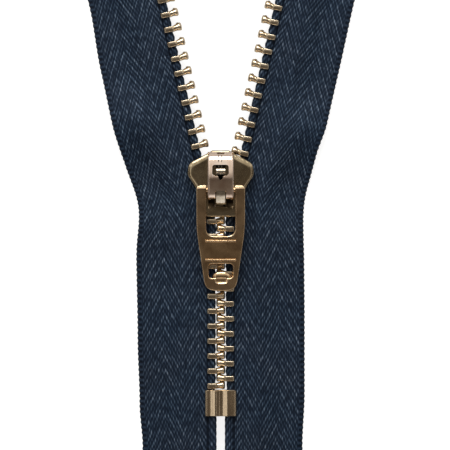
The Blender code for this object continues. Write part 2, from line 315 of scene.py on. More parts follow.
def ellipsoid(centre, radii, rings=14, sides=24):
    """Points and faces of an ellipsoid, without its two pole points."""
    found = []
    for k in range(1, rings):
        a = math.pi * k / rings
        ring = []
        for i in range(sides):
            b = 2 * math.pi * i / sides
            unit = (math.sin(a) * math.cos(b), math.sin(a) * math.sin(b), math.cos(a))
            ring.append(tuple(c + r * q for c, r, q in zip(centre, radii, unit)))
        found.append(ring)
    return loft(found)


# ------------------------------------------------------------------ materials


class Nodes:
    """A short way to add shader nodes and links to one material or world."""

    def __init__(self, tree):
        self.tree = tree

    def add(self, kind, inputs=None, **settings):
        node = self.tree.nodes.new(kind)
        for name, value in settings.items():
            setattr(node, name, value)
        for name, value in (inputs or {}).items():
            self.feed(node.inputs[name], value)
        return node

    def feed(self, socket, value):
        if isinstance(value, bpy.types.NodeSocket):
            self.tree.links.new(value, socket)
        else:
            socket.default_value = value

    def maths(self, operation, a, b=0.0, clamp=False):
        node = self.add("ShaderNodeMath", operation=operation, use_clamp=clamp)
        self.feed(node.inputs[0], a)
        self.feed(node.inputs[1], b)
        return node.outputs[0]

    def mix(self, factor, a, b, blend="MIX"):
        node = self.add("ShaderNodeMix", data_type="RGBA", blend_type=blend)
        self.feed(node.inputs["Factor"], factor)
        self.feed(node.inputs[6], a)
        self.feed(node.inputs[7], b)
        return node.outputs[2]

    def ramp(self, value, stops):
        node = self.add("ShaderNodeValToRGB", {"Fac": value})
        ramp = node.color_ramp
        while len(ramp.elements) < len(stops):
            ramp.elements.new(1.0)
        for element, (position, colour) in zip(ramp.elements, stops):
            element.position = position
            element.color = (*colour, 1.0) if isinstance(colour, tuple) else (colour,) * 3 + (1.0,)
        return node.outputs["Color"]

    def noise(self, vector, scale, detail=3.0, roughness=0.55):
        inputs = {"Vector": vector, "Scale": scale, "Detail": detail, "Roughness": roughness}
        return self.add("ShaderNodeTexNoise", inputs).outputs["Fac"]

    def stretched(self, vector, scale):
        return self.add("ShaderNodeMapping", {"Vector": vector, "Scale": scale}).outputs[0]


def new_material(name):
    made = bpy.data.materials.new(name)
    made.use_nodes = True
    return made, Nodes(made.node_tree), made.node_tree.nodes["Principled BSDF"]


# Painted shade: a near-black colour laid over the metal where a mesh marks shade, inside and under the
# crown
PAINTED_SHADE_COLOUR = (0.02, 0.013, 0.008, 1)
PAINTED_SHADE_SHARE = 0.94


def under_painted_shade(n, colour):
    """(the colour with the mesh's painted shade over it, the amount of painted shade itself)."""
    # How much painted shade the mesh marks at this point
    painted_shade = n.add("ShaderNodeAttribute", attribute_name="painted_shade").outputs["Fac"]
    return n.mix(n.maths("MULTIPLY", painted_shade, PAINTED_SHADE_SHARE), colour, PAINTED_SHADE_COLOUR), painted_shade


def brass(name, polished, worn, tarnish, rough, grain=(1.0, 1.0, 1.0)):
    """Brass with tarnish in patches, rubbed edges, painted shade where the mesh marks it and fine marks
    along its grain.
    """
    made, n, shader = new_material(name)
    place = n.add("ShaderNodeTexCoord").outputs["Object"]
    piece = n.add("ShaderNodeObjectInfo").outputs["Random"]
    shifted = n.add("ShaderNodeVectorMath", operation="ADD")
    n.feed(shifted.inputs[0], place)
    n.feed(shifted.inputs[1], piece)
    place = shifted.outputs[0]
    marks = n.noise(n.stretched(place, grain), 2600.0, 2.0, 0.5)
    patches = n.noise(place, 420.0, 3.0)
    grime = n.noise(place, 1500.0, 2.0, 0.6)
    edge = n.ramp(n.add("ShaderNodeNewGeometry").outputs["Pointiness"], [(0.50, 0.0), (0.58, 1.0)])
    colour = n.mix(n.ramp(patches, [(0.38, 0.0), (0.68, 1.0)]), polished, tarnish)
    colour = n.mix(n.maths("MULTIPLY", grime, 0.30), colour, tarnish)
    colour = n.mix(n.maths("MULTIPLY", edge, 0.55), colour, worn)
    colour, painted_shade = under_painted_shade(n, colour)
    n.feed(shader.inputs["Base Color"], colour)
    shader.inputs["Metallic"].default_value = 1.0
    spread = n.maths("ADD", n.maths("MULTIPLY", marks, 0.05), rough - 0.045)
    spread = n.maths("ADD", spread, n.maths("MULTIPLY", painted_shade, 0.3))
    spread = n.maths("ADD", spread, n.maths("MULTIPLY", grime, 0.04))
    n.feed(shader.inputs["Roughness"], n.maths("SUBTRACT", spread, n.maths("MULTIPLY", edge, 0.06)))
    bump = n.add("ShaderNodeBump", {"Height": marks, "Strength": 0.03, "Distance": 0.00002})
    dents = n.add(
        "ShaderNodeBump",
        {"Height": patches, "Strength": 0.06, "Distance": 0.0002, "Normal": bump.outputs[0]},
    )
    n.feed(shader.inputs["Normal"], dents.outputs[0])
    return made


def spring_steel():
    """Bright drawn strip, stained in patches, with painted shade where the mesh marks it."""
    made, n, shader = new_material("spring_steel")
    place = n.add("ShaderNodeTexCoord").outputs["Object"]
    drawn = n.noise(n.stretched(place, (1.0, 0.06, 0.06)), 9000.0, 3.0)
    stains = n.noise(place, 900.0, 3.0)
    dull, bright = (0.50, 0.43, 0.33, 1), (0.88, 0.80, 0.66, 1)
    colour = n.mix(n.ramp(stains, [(0.35, 0.0), (0.7, 1.0)]), bright, dull)
    colour, _ = under_painted_shade(n, colour)
    n.feed(shader.inputs["Base Color"], colour)
    shader.inputs["Metallic"].default_value = 1.0
    n.feed(shader.inputs["Roughness"], n.maths("ADD", n.maths("MULTIPLY", drawn, 0.2), 0.12))
    bump = n.add("ShaderNodeBump", {"Height": drawn, "Strength": 0.15, "Distance": 0.00003})
    n.feed(shader.inputs["Normal"], bump.outputs[0])
    return made


def tape_cloth():
    """Navy twill. The mesh carries, as a point attribute, each float's tone with a painted highlight on its
    crest and painted shade in the gaps between yarns.
    """
    made, n, shader = new_material("tape_cloth")
    # Tone with painted highlight and painted shade, stored on the mesh by the tape builder
    lift = n.add("ShaderNodeAttribute", attribute_name="weave_tone_and_painted_shade").outputs["Fac"]
    flat = n.add("ShaderNodeUVMap", uv_map="cloth").outputs["UV"]
    fibres = n.noise(n.stretched(flat, (14.0, 3.0, 1.0)), 60.0, 3.0, 0.6)
    fuzz = n.noise(flat, 900.0, 2.0, 0.5)
    dye = n.noise(flat, 9.0, 4.0, 0.6)
    # From painted shade in the gaps between yarns, through the navy, to painted highlight on the float
    # crests
    stops = [
        (0.0, (0.0010, 0.0021, 0.0052)),
        (0.28, (0.0062, 0.0125, 0.0265)),
        (0.55, (0.0300, 0.0500, 0.0850)),
        (0.80, (0.0820, 0.1200, 0.1780)),
        (1.0, (0.1600, 0.2120, 0.2850)),
    ]
    colour = n.ramp(lift, stops)
    shade = n.ramp(fibres, [(0.25, 0.62), (0.75, 1.30)])
    colour = n.mix(1.0, colour, shade, "MULTIPLY")
    cast = n.ramp(dye, [(0.3, (0.86, 0.96, 1.0)), (0.7, (1.14, 1.04, 1.0))])
    colour = n.mix(1.0, colour, cast, "MULTIPLY")
    n.feed(shader.inputs["Base Color"], colour)
    n.feed(shader.inputs["Roughness"], n.maths("ADD", n.maths("MULTIPLY", fuzz, 0.25), 0.62))
    shader.inputs["Specular IOR Level"].default_value = 0.12
    shader.inputs["Sheen Weight"].default_value = 0.03
    shader.inputs["Sheen Roughness"].default_value = 0.45
    shader.inputs["Sheen Tint"].default_value = (0.55, 0.70, 1.0, 1)
    bump = n.add("ShaderNodeBump", {"Height": fibres, "Strength": 0.5, "Distance": 0.00005})
    n.feed(shader.inputs["Normal"], bump.outputs[0])
    return made


CLOTH = tape_cloth()
TEETH_BRASS = brass(
    "teeth_brass", (0.80, 0.66, 0.46, 1), (1.0, 0.92, 0.76, 1), (0.56, 0.41, 0.25, 1), 0.20
)
STOP_BRASS = brass(
    "stop_brass", (0.74, 0.57, 0.38, 1), (0.95, 0.80, 0.58, 1), (0.46, 0.33, 0.20, 1), 0.22
)
SLIDER_BRASS = brass(
    "slider_brass", (0.52, 0.42, 0.27, 1), (0.95, 0.82, 0.60, 1), (0.28, 0.21, 0.12, 1), 0.20
)
CROWN_BRASS = brass(
    "crown_brass", (0.92, 0.74, 0.60, 1), (1.0, 0.90, 0.80, 1), (0.68, 0.48, 0.36, 1), 0.17,
    (1.0, 0.15, 1.0),
)
TAB_BRASS = brass(
    "tab_brass", (0.82, 0.58, 0.34, 1), (1.0, 0.84, 0.60, 1), (0.46, 0.30, 0.16, 1), 0.22,
    (1.0, 0.05, 1.0),
)
SPRING = spring_steel()


# ---------------------------------------------------------------------- tapes

# How much narrower the cloth lies than a straight tape, as (place along, millimetres)
TRIM = {
    -1: [(-56, 1.3), (-42, 1.25), (-34, 0.7), (-22, 0.35), (-6, 0.1), (4, 0.8), (12, 0.5),
         (20, 0.0), (30, 0.1), (42, 0.7), (80, 0.7)],
    1: [(-56, 0.7), (-42, 0.6), (-32, 0.2), (-18, 0.2), (-4, 0.3), (8, 0.8), (14, 1.0),
        (20, 0.4), (30, 0.4), (42, 0.5), (80, 0.5)],
}
# Low waves of the loose margin, as (place along, half length, height)
WAVES = {
    -1: [(19.0, 6.5, 2.8), (-1.0, 6.0, 0.9), (-22.0, 10.0, 0.35), (58.0, 9.0, 0.6)],
    1: [(17.0, 6.5, 2.6), (-3.0, 6.0, 0.9), (36.0, 9.0, 0.5), (-30.0, 9.0, 0.3), (60.0, 9.0, 0.5)],
}


YARNS = int((TAPE_EDGE + 3) / YARN) + 2
FLOATS = 128  # floats along one yarn before its irregularities come round again
# How irregular each yarn is: its slip along the tape, and each float's brightness and start
TABLES = {
    side: {
        "slip": rng.normal(0.0, 0.025, YARNS),
        "bright": np.clip(rng.normal(0.82, 0.23, (YARNS, FLOATS)), 0.25, 1.30),
        "early": rng.normal(0.0, 0.045, (YARNS, FLOATS)),
    }
    for side in (-1, 1)
}


def drape(v):
    """How far the tape has sunk from the chain's mid height towards the floor, v out of the bead."""
    return DRAPE_DROP * smooth((v - DRAPE_FROM) / (DRAPE_TO - DRAPE_FROM))


def eased(table, along):
    """The table's values with a smooth turn through each of its points."""
    places, values = np.array(table, float).T
    k = np.clip(np.searchsorted(places, along) - 1, 0, len(places) - 2)
    t = smooth((along - places[k]) / (places[k + 1] - places[k]))
    return values[k] + t * (values[k + 1] - values[k])


def bead_size(side, along):
    """(radius, inward shift) of the beaded edge: squeezed by each tooth, full below the stop."""
    phase = 2 * math.pi * (along - LAST_CLOSED[side]) / PITCH
    first = LAST_CLOSED[side] - PITCH * (LOWER_TEETH[side] - 1)
    last = LAST_CLOSED[side] + PITCH * (NECK_TEETH + MIDDLE_TEETH + TOP_TEETH)
    toothed = smooth(along - first + 1) * smooth(last + 1 - along)
    radius = BEAD_RADIUS + toothed * (0.10 - 0.10 * np.cos(phase))
    below = smooth((STOP_BOTTOM + 1.2 - along) / 1.2)
    return radius + 0.18 * below, 0.14 * below


def section():
    """Across the tape: the bead's angles, then distances out over the top and back below."""
    bead = [math.radians(a) for a in np.linspace(-140, 140, 19)]
    v_top = TAPE_EDGE - BEAD_X - YARN * np.arange(156, 3, -1) / 4
    v_under = np.linspace(TAPE_EDGE - BEAD_X - 0.4, 0.9, 26)
    return bead, v_top, v_under


def weave(inward, along, table):
    """(height, colour) of the twill, from 0 to 1, at a distance in from the outer edge. The colour is the
    yarn's tone with painted highlight on each float's crest and painted shade at the yarns' sides.
    """
    index = np.clip(np.floor(inward / YARN).astype(int), 0, YARNS - 1)
    across = inward / YARN - np.floor(inward / YARN)
    first, second, third = TURNS
    fold = np.where(index < first, index, 2 * first - index)
    fold = np.where(index < second, fold, 2 * (first - second) + index)
    fold = np.where(index < third, fold, 2 * (first - second + third) - index)
    climbing = (index < first) | ((index >= second) & (index < third))
    slant = np.where(climbing, 0.5, -0.5) * (across - 0.5)
    turns = (along - (fold + slant) * STEP) / (2 * STEP) + table["slip"][index]
    turns = turns + 0.04 * np.sin(1.3 * along + 0.7 * index) + 0.03 * np.sin(2.9 * along - 0.4 * index)
    number = np.floor(turns).astype(int)
    column = number % FLOATS
    within = np.clip(turns - number + table["early"][index, column], 0, 1)
    peak = (0.5 - 0.5 * np.cos(2 * np.pi * within)) ** 1.1
    ridge = 0.35 + 0.65 * np.sin(np.pi * np.clip(across, 0, 1)) ** 0.5
    bright = table["bright"][index, column] * np.where(number % 2, 0.66, 1.0)
    height = ridge * (0.15 + 0.85 * peak)
    # Colour: painted shade at each yarn's sides and painted highlight on the float's crest, times each
    # float's own brightness
    colour = 0.04 + ridge * (0.27 + 0.67 * peak * bright)
    return height, colour


def build_tape(side, low, high):
    """The points, tones with painted highlight and shade, and flat places of one stretch of tape, closed
    (not yet splayed).
    """
    bead, v_top, v_under = section()
    rows = int(round((high - low) / ROW)) + 1
    along = np.linspace(low, high, rows)
    radius, shift = bead_size(side, along)
    edge = TAPE_EDGE - BEAD_X
    table = TABLES[side]
    columns = []  # (v, z, out_v, out_z, distance across the cloth, share of relief)

    for a in bead:
        v = -radius * math.cos(a) - shift
        z = radius * math.sin(a)
        around = (a - bead[-1]) * BEAD_RADIUS
        columns.append((v, z, -math.cos(a), math.sin(a), 0.85 + around, 0.7))
    for v in v_top:
        rest_on = smooth((edge - v) / 0.5)
        columns.append((v + 0 * along, TAPE_HALF + 0 * along, 0.0, 1.0, v, 0.35 + 0.65 * rest_on))
    for a in (70, 35, 0, -35, -70):
        a = math.radians(a)
        v = edge - TAPE_HALF + TAPE_HALF * math.cos(a)
        z = TAPE_HALF * math.sin(a)
        columns.append((v + 0 * along, z + 0 * along, math.cos(a), math.sin(a), v, 0.3))
    for v in v_under:
        columns.append((v + 0 * along, -TAPE_HALF + 0 * along, 0.0, -1.0, v, 0.0))

    points, tone_and_painted_shade, flats = [], [], []
    for v, z, out_v, out_z, distance, share in columns:
        height, colour = weave(edge - distance + 0 * along, along, table)
        selvedge = smooth((distance - (edge - SELVEDGE)) / 0.35)
        loops = 0.5 + 0.5 * np.cos(2 * np.pi * along / SCALLOP)
        height = height * (1 - selvedge) + selvedge * (0.2 + 0.8 * loops)
        # The looped edge: painted highlight on each loop's crest, painted shade between loops
        colour = colour * (1 - selvedge) + selvedge * (0.12 + 0.38 * loops)
        lift = RELIEF * share * (height - 0.5)
        v = v + out_v * lift
        z = z + out_z * lift
        scallop = 0.09 * (loops - 0.5) * smooth((distance - edge + 0.8) / 0.6)
        trim = eased(TRIM[side], along) * smooth((v - 1.0) / (edge - 1.0))
        wave = sum(
            tall * np.exp(-(((along - at) / half) ** 2)) for at, half, tall in WAVES[side]
        )
        wave = wave * smooth((v - 3.5) / 6.0) * (1 - 0.35 * smooth((v - 9.0) / 4.8))
        x = side * (BEAD_X + v - trim + scallop)
        points.append(np.stack([x, along, MID_Z - drape(v) + z + wave], axis=1))
        tone_and_painted_shade.append(colour if share else 0.25 + 0 * along)
        flats.append(np.stack([distance + 0 * along, along], axis=1))
    points = np.stack(points, axis=1)
    return points, np.stack(tone_and_painted_shade, axis=1), np.stack(flats, axis=1)


def bent(side, points):
    x, y = points[..., 0], points[..., 1]
    at = y
    for _ in range(BENDING_PASSES):
        w = smooth((at - BEND[0]) / (BEND[1] - BEND[0]))
        new_x, at = turned(x, y, (side * SPLAY_X, SPLAY_Y), -side * w * SPLAY)
    return np.stack([new_x, at, points[..., 2]], axis=-1)


def tape_object(name, points, tone_and_painted_shade, flats):
    """One stretch of tape as a closed mesh, with its floats' tones, painted highlights and painted shade,
    and its flat places.
    """
    rows, columns = tone_and_painted_shade.shape
    body = points.reshape(-1, 3)
    first = np.arange(rows - 1)[:, None] * columns + np.arange(columns)[None, :]
    after = np.arange(rows - 1)[:, None] * columns + (np.arange(columns)[None, :] + 1) % columns
    quads = np.stack([first, after, after + columns, first + columns], axis=-1).reshape(-1, 4)
    faces = quads.tolist()
    faces.append(list(range(columns)))
    faces.append(list(range(columns * rows - 1, columns * (rows - 1) - 1, -1)))
    obj = make(name, body, faces, CLOTH, 180)
    mesh = obj.data
    # The weave's tone with its painted highlight and painted shade, stored on the points
    lift = mesh.attributes.new("weave_tone_and_painted_shade", "FLOAT", "POINT")
    lift.data.foreach_set("value", tone_and_painted_shade.reshape(-1).astype(np.float32))
    corner = np.empty(len(mesh.loops), np.int32)
    mesh.loops.foreach_get("vertex_index", corner)
    uv = mesh.uv_layers.new(name="cloth")
    uv.data.foreach_set("uv", (flats.reshape(-1, 2)[corner] / 100).astype(np.float32).reshape(-1))
    return obj


def build_tapes():
    """Two pieces of cloth on each side: the lower one bent open where the strands part at the slider, the
    upper one turned to lie along its open strand.
    """
    for name, side in SIDES.items():
        parts = (("lower", TAPE_BOTTOM, SEAM), ("upper", SEAM, TAPE_TOP))
        for part, low, high in parts:
            points, tone_and_painted_shade, flats = build_tape(side, low, high)
            if part == "lower":
                points = bent(side, points)
            else:
                x, y = middle_map(side, points[..., 0], points[..., 1])
                points = np.stack([x, y, points[..., 2]], axis=-1)
            cloth = tape_object(f"{name}_tape_cloth_{part}", points, tone_and_painted_shade, flats)
            if part == "lower":
                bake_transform(cloth)
                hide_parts(f"{name}_tape_lower", f"{name}_tape_middle")
            else:
                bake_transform(cloth)
                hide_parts(f"{name}_tape_top")


# ---------------------------------------------------------------------- teeth

# Along a tooth, from the ends of its legs to the tip of its head: (u, half thickness along the
# chain, half height, share of the section that is rounded, shift up the chain)
TOOTH_STATIONS = [
    (-0.77, 0.42, 0.82, 0.34, 0.0),
    (-0.75, 0.48, 0.90, 0.34, 0.0),
    (-0.70, 0.52, 0.98, 0.34, 0.0),
    (-0.52, 0.53, 1.16, 0.34, 0.0),
    (-0.44, 0.53, 1.18, 0.34, 0.0),
    (0.74, 0.53, 1.18, 0.34, 0.0),
    (0.84, 0.53, 1.15, 0.30, 0.0),
    (0.91, 0.52, 1.08, 0.45, 0.01),
    (0.98, 0.52, 1.00, 0.62, 0.02),
    (1.10, 0.54, 0.97, 0.80, 0.04),
    (1.30, 0.60, 1.00, 0.92, 0.08),
    (1.50, 0.63, 1.03, 1.0, 0.11),
    (1.75, 0.68, 1.06, 1.0, 0.14),
    (2.00, 0.73, 1.04, 1.0, 0.16),
    (2.20, 0.76, 0.97, 1.0, 0.16),
    (2.36, 0.73, 0.84, 1.0, 0.16),
    (2.47, 0.58, 0.62, 1.0, 0.15),
    (2.52, 0.30, 0.32, 1.0, 0.13),
]
CORNER_STEPS = 8
CLAMP_RADIUS = 0.66  # the room that a tooth or stop leaves for its bead


def rounded_ring(u, half_t, half_z, share, shift):
    """A rounded rectangle across a tooth, as points (u, t, z). share = 1 makes it an ellipse."""
    ring = []
    for k, (turn_t, turn_z) in enumerate(((1, 1), (-1, 1), (-1, -1), (1, -1))):
        for i in range(CORNER_STEPS + 1):
            a = math.pi / 2 * (k + 0.02 + 0.96 * i / CORNER_STEPS)
            t = half_t * (turn_t * (1 - share) + share * math.cos(a))
            z = half_z * (turn_z * (1 - share) + share * math.sin(a))
            ring.append((u, t + shift, z))
    return ring


def tooth_mesh():
    """One tooth, with its bead's middle at the origin, its head on +x and its bump on +y."""
    rings = [rounded_ring(*station) for station in TOOTH_STATIONS]
    tooth = make("tooth", *loft(rings), TEETH_BRASS)
    add(tooth, ellipsoid((1.88, 0.52, 0.0), (0.42, 0.48, 0.56)))
    cut(tooth, ellipsoid((1.48, -0.66, 0.0), (0.56, 0.34, 0.66)))
    arc = np.radians(range(0, 136, 15))
    over = [(CLAMP_RADIUS * math.cos(a), CLAMP_RADIUS * math.sin(a)) for a in arc]
    under = [(u, -z) for u, z in reversed(over[1:])]
    clamp = over + [(-0.9, 0.34), (-0.9, -0.34)] + under
    cut(tooth, stack(clamp, [(-0.8, 0), (0.8, 0)], "y"))
    even_out(tooth)
    mesh = tooth.data
    mesh.transform(Matrix.Translation((0, -REAR * MM, 0)))
    bpy.data.objects.remove(tooth, do_unlink=True)
    return mesh


def place_tooth(mesh, name, side, along, mapping, angle, body):
    """A tooth on its bead at a place along the closed chain, moved to where it lies at rest."""
    obj = bpy.data.objects.new(name, mesh)
    bpy.context.scene.collection.objects.link(obj)
    x, y = mapping(side, side * BEAD_X, along)
    flip = Matrix.Rotation(math.pi if side > 0 else 0.0, 4, "Y")
    turn = Matrix.Rotation(-side * angle, 4, "Z")
    obj.matrix_world = Matrix.Translation(world((x, y, MID_Z))) @ turn @ flip
    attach(obj, body)
    return obj


def build_teeth():
    """Both rows: closed below the slider, turning in its mouth, open above it, and at the end."""
    mesh = tooth_mesh()
    for name, side in SIDES.items():
        last, count = LAST_CLOSED[side], LOWER_TEETH[side]
        for k in range(count):
            along = last - PITCH * (count - 1 - k)
            piece = f"{name}_chain_tooth_{k + 1:02d}"
            obj = place_tooth(mesh, piece, side, along, same, 0.0, "lower_chain")
            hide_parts(f"{name}_tooth_{k + 1:02d}")
        for k in range(NECK_TEETH):
            along = last + PITCH * (k + 1)
            piece = f"{name}_turning_tooth_{k + 1}"
            obj = place_tooth(mesh, piece, side, along, neck_map, NECK, f"{name}_neck")
            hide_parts(f"{name}_neck_tooth_{k + 1}")
        first = last + PITCH * (NECK_TEETH + 1)
        for k in range(MIDDLE_TEETH):
            piece = f"{name}_open_tooth_{k + 1:02d}"
            along = first + PITCH * k
            obj = place_tooth(mesh, piece, side, along, middle_map, SPLAY, f"{name}_middle")
            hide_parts(f"{name}_teeth_middle")
        for k in range(TOP_TEETH):
            along = first + PITCH * (MIDDLE_TEETH + k)
            piece = f"{name}_end_tooth_{k + 1}"
            obj = place_tooth(mesh, piece, side, along, middle_map, SPLAY, f"{name}_top")
            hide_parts(f"{name}_top_tooth_{k + 1}")


# ---------------------------------------------------------------------- stops


def clamp_outline():
    """What a clamp leaves free for a bead and its tape, as (distance out of the bead, height)."""
    arc = [math.radians(a) for a in range(150, -151, -15)]
    bead = [(-CLAMP_RADIUS * math.cos(a), CLAMP_RADIUS * math.sin(a)) for a in arc]
    return [(7.0, 0.30), (0.75, 0.30)] + bead + [(0.75, -0.30), (7.0, -0.30)]


# Across the bottom stop's upper side, as (x, height over its middle)
STOP_FOLD = [(2.86, 0.55), (2.80, 0.90), (2.55, 1.16), (2.20, 1.27), (1.75, 1.40), (1.35, 1.47),
             (1.00, 1.38), (0.60, 1.24), (0.20, 1.13), (-0.20, 1.16), (-0.60, 1.38), (-0.90, 1.51),
             (-1.25, 1.42), (-1.75, 1.24), (-2.15, 1.14), (-2.55, 1.08), (-2.80, 0.86),
             (-2.86, 0.55)]


def build_bottom_stop():
    """A strip of brass folded round both beads, with a hollow along its middle."""
    upper = [tuple(point) for point in through(STOP_FOLD, 4)]
    outline = [(x, MID_Z + z) for x, z in upper] + [(x, MID_Z - z) for x, z in reversed(upper)]
    levels = [(STOP_BOTTOM, -0.12), (STOP_BOTTOM + 0.10, 0), (STOP_TOP - 0.12, 0), (STOP_TOP, -0.12)]
    stop = make("bottom_stop_folded", *stack(outline, levels, "y"), STOP_BRASS)
    for side in (-1, 1):
        ring = [(side * (BEAD_X + v), MID_Z + z) for v, z in clamp_outline()]
        cut(stop, stack(ring, [(STOP_BOTTOM - 1, 0), (STOP_TOP + 1, 0)], "y"))
    even_out(stop)
    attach(stop, "lower_chain")
    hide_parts("bottom_stop")


def build_top_stops():
    """A bent clip at the upper end of each row of teeth."""
    half = [(1.05, 0.0), (1.05, 0.62), (0.72, 1.28), (-0.30, 1.42), (-0.82, 1.12), (-0.85, 0.0)]
    outline = half + [(u, -z) for u, z in reversed(half[1:-1])]
    outline = rounded(outline, 0.28)
    low, high = END_STOP
    for name, side in SIDES.items():
        rings = []
        out = outward(outline)
        for along, offset in slab_levels(low, high, 0.16):
            ring = []
            for u, z in np.array(outline) + out * offset:
                ring.append((*middle_map(side, side * (BEAD_X - u), along), MID_Z + z))
            rings.append(ring)
        stop = make(f"{name}_top_stop_clip", *loft(rings), STOP_BRASS)
        rings = []
        for along in (low - 1, high + 1):
            ring = []
            for v, z in clamp_outline():
                ring.append((*middle_map(side, side * (BEAD_X + v), along), MID_Z + z))
            rings.append(ring)
        cut(stop, loft(rings))
        even_out(stop)
        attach(stop, f"{name}_top")
        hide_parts(f"{name}_top_stop")


# --------------------------------------------------------------------- slider

PLATE = 0.80
SLIT_HALF = 0.42
SLIDER_HALF = [(3.20, 0.0), (3.35, 1.9), (4.55, 5.4), (6.00, 7.5), (6.00, 8.6), (5.75, 9.8),
               (1.95, 11.8), (1.60, 12.1)]
SLIDER_ROUNDING = [0.35, 0.9, 1.2, 0.5, 0.6, 0.7, 0.4, 0.2]
# Height, how far the rim is rounded in there, and how much further on the wings, which slope
SLIDER_LEVELS = [(edge, inset, 0.0) for edge, inset in ((0.0, 0.26), (0.02, 0.16), (0.08, 0.08),
                                                        (0.16, 0.02), (0.26, 0.0))]
SLIDER_LEVELS += [(SLIDER_TOP - drop, rim, slope) for drop, rim, slope in (
    (0.55, 0.0, 0.0), (0.40, 0.01, 0.03), (0.28, 0.04, 0.10), (0.18, 0.08, 0.24), (0.08, 0.15, 0.46),
    (0.03, 0.22, 0.60), (0.0, 0.30, 0.75))]
CHANNEL_AT, CHANNEL_SLOPE = 1.93, math.tan(NECK)
DIAMOND = [(0.0, 6.2), (0.85, 9.0), (1.2, 10.4), (0.8, 11.8)]
CLAW_HOLE = (1.10, 1.85, 3.20)
CROWN_X, CROWN_WALL = 2.36, 0.55
PIVOT_Y, PIVOT_Z = 4.90, 5.35
BAR_RADIUS = 0.42
BAR_ROOM = 0.75  # half the crown's slot for the tab's bar
SPRING_HALF, SPRING_WIDTH_HALF = 0.13, 0.85


def build_slider_body():
    """Two shield-shaped plates joined by the diamond at the front, with flanges along the sides."""
    outline = both_sides(SLIDER_HALF)
    lengths = SLIDER_ROUNDING + SLIDER_ROUNDING[::-1]
    on_wings = smooth((np.array(outline)[:, 1:] - 2.0) / 3.0)
    rings = []
    for z, rim, slope in SLIDER_LEVELS:
        inset = np.array(outline) - outward(outline) * (rim + slope * on_wings)
        rings.append([(x, y, z) for x, y in rounded([tuple(p) for p in inset], lengths)])
    plates = loft(rings)
    body = make("slider_body_cast", *plates, SLIDER_BRASS)
    knee = (2.5 - CHANNEL_AT) / CHANNEL_SLOPE
    front = CHANNEL_AT + CHANNEL_SLOPE * 8.6
    channel = [(2.5, -1.0), (2.5, knee), (front, 8.6), (7.5, 9.2), (7.5, 13.5)]
    cut(body, stack(both_sides(channel), [(PLATE, 0), (SLIDER_TOP - PLATE, 0)]))
    diamond = rounded(both_sides(DIAMOND), 0.3)
    add(body, stack(diamond, [(PLATE - 0.2, 0), (SLIDER_TOP - PLATE + 0.2, 0)]))
    for x0, x1 in ((-8, -2.2), (2.2, 8)):
        cut(body, block(x0, x1, -1, 9.4, MID_Z - SLIT_HALF, MID_Z + SLIT_HALF))
    recess = [(1.60, SLIDER_TOP + 0.3), (1.60, SLIDER_TOP - 0.03), (2.60, SLIDER_TOP - 0.62),
              (3.60, SLIDER_TOP - 0.68), (3.60, SLIDER_TOP + 0.3)]
    cut(body, stack(recess, [(-2.25, 0), (2.25, 0)], "x"))
    half, rear, ahead = CLAW_HOLE
    hole = rounded([(-half, rear), (half, rear), (half, ahead), (-half, ahead)], 0.3)
    cut(body, stack(hole, [(SLIDER_TOP - PLATE - 0.2, 0), (SLIDER_TOP + 1, 0)]))
    even_out(body)
    # Painted shadow: the plate and recess under the crown's rear end are darkened where the crown's shadow
    # falls
    paint_shade(body, lambda x, y, z: (abs(x) < 2.3) * (y > 1.5) * (y < 3.7)
           * smooth((SLIDER_TOP - 0.02 - z) / 0.35) * (z > PLATE))
    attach(body, "slider")
    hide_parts("slider_body")


# The crown's roof line along the slider, as (y, height)
ROOF = [(3.10, 5.40), (3.30, 5.85), (3.70, 6.35), (4.3, 6.66), (5.4, 6.85), (6.3, 6.97),
        (6.7, 6.99), (7.2, 6.96), (8.2, 6.83), (9.4, 6.63), (10.2, 6.45), (10.7, 6.25), (11.10, 5.98),
        (11.40, 5.68), (11.65, 5.20), (11.80, 4.60)]


def crown_ring(y, roof):
    """An upright arch across the crown: straight walls, round shoulders, a slightly full roof."""
    low = SLIDER_TOP + 0.02
    corner = min(0.42, (roof - low) * 0.45)
    ring = [(-CROWN_X, low)]
    for k in range(7):
        a = math.pi / 2 * k / 6
        ring.append((-CROWN_X + corner * (1 - math.cos(a)), roof - corner * (1 - math.sin(a))))
    flat = CROWN_X - corner
    for k in range(1, 12):
        x = -flat + 2 * flat * k / 12
        ring.append((x, roof + 0.05 * (1 - (x / flat) ** 2)))
    for k in range(7):
        a = math.pi / 2 * (1 - k / 6)
        ring.append((CROWN_X - corner * (1 - math.cos(a)), roof - corner * (1 - math.sin(a))))
    ring.append((CROWN_X, low))
    return [(x, y, z) for x, z in ring]


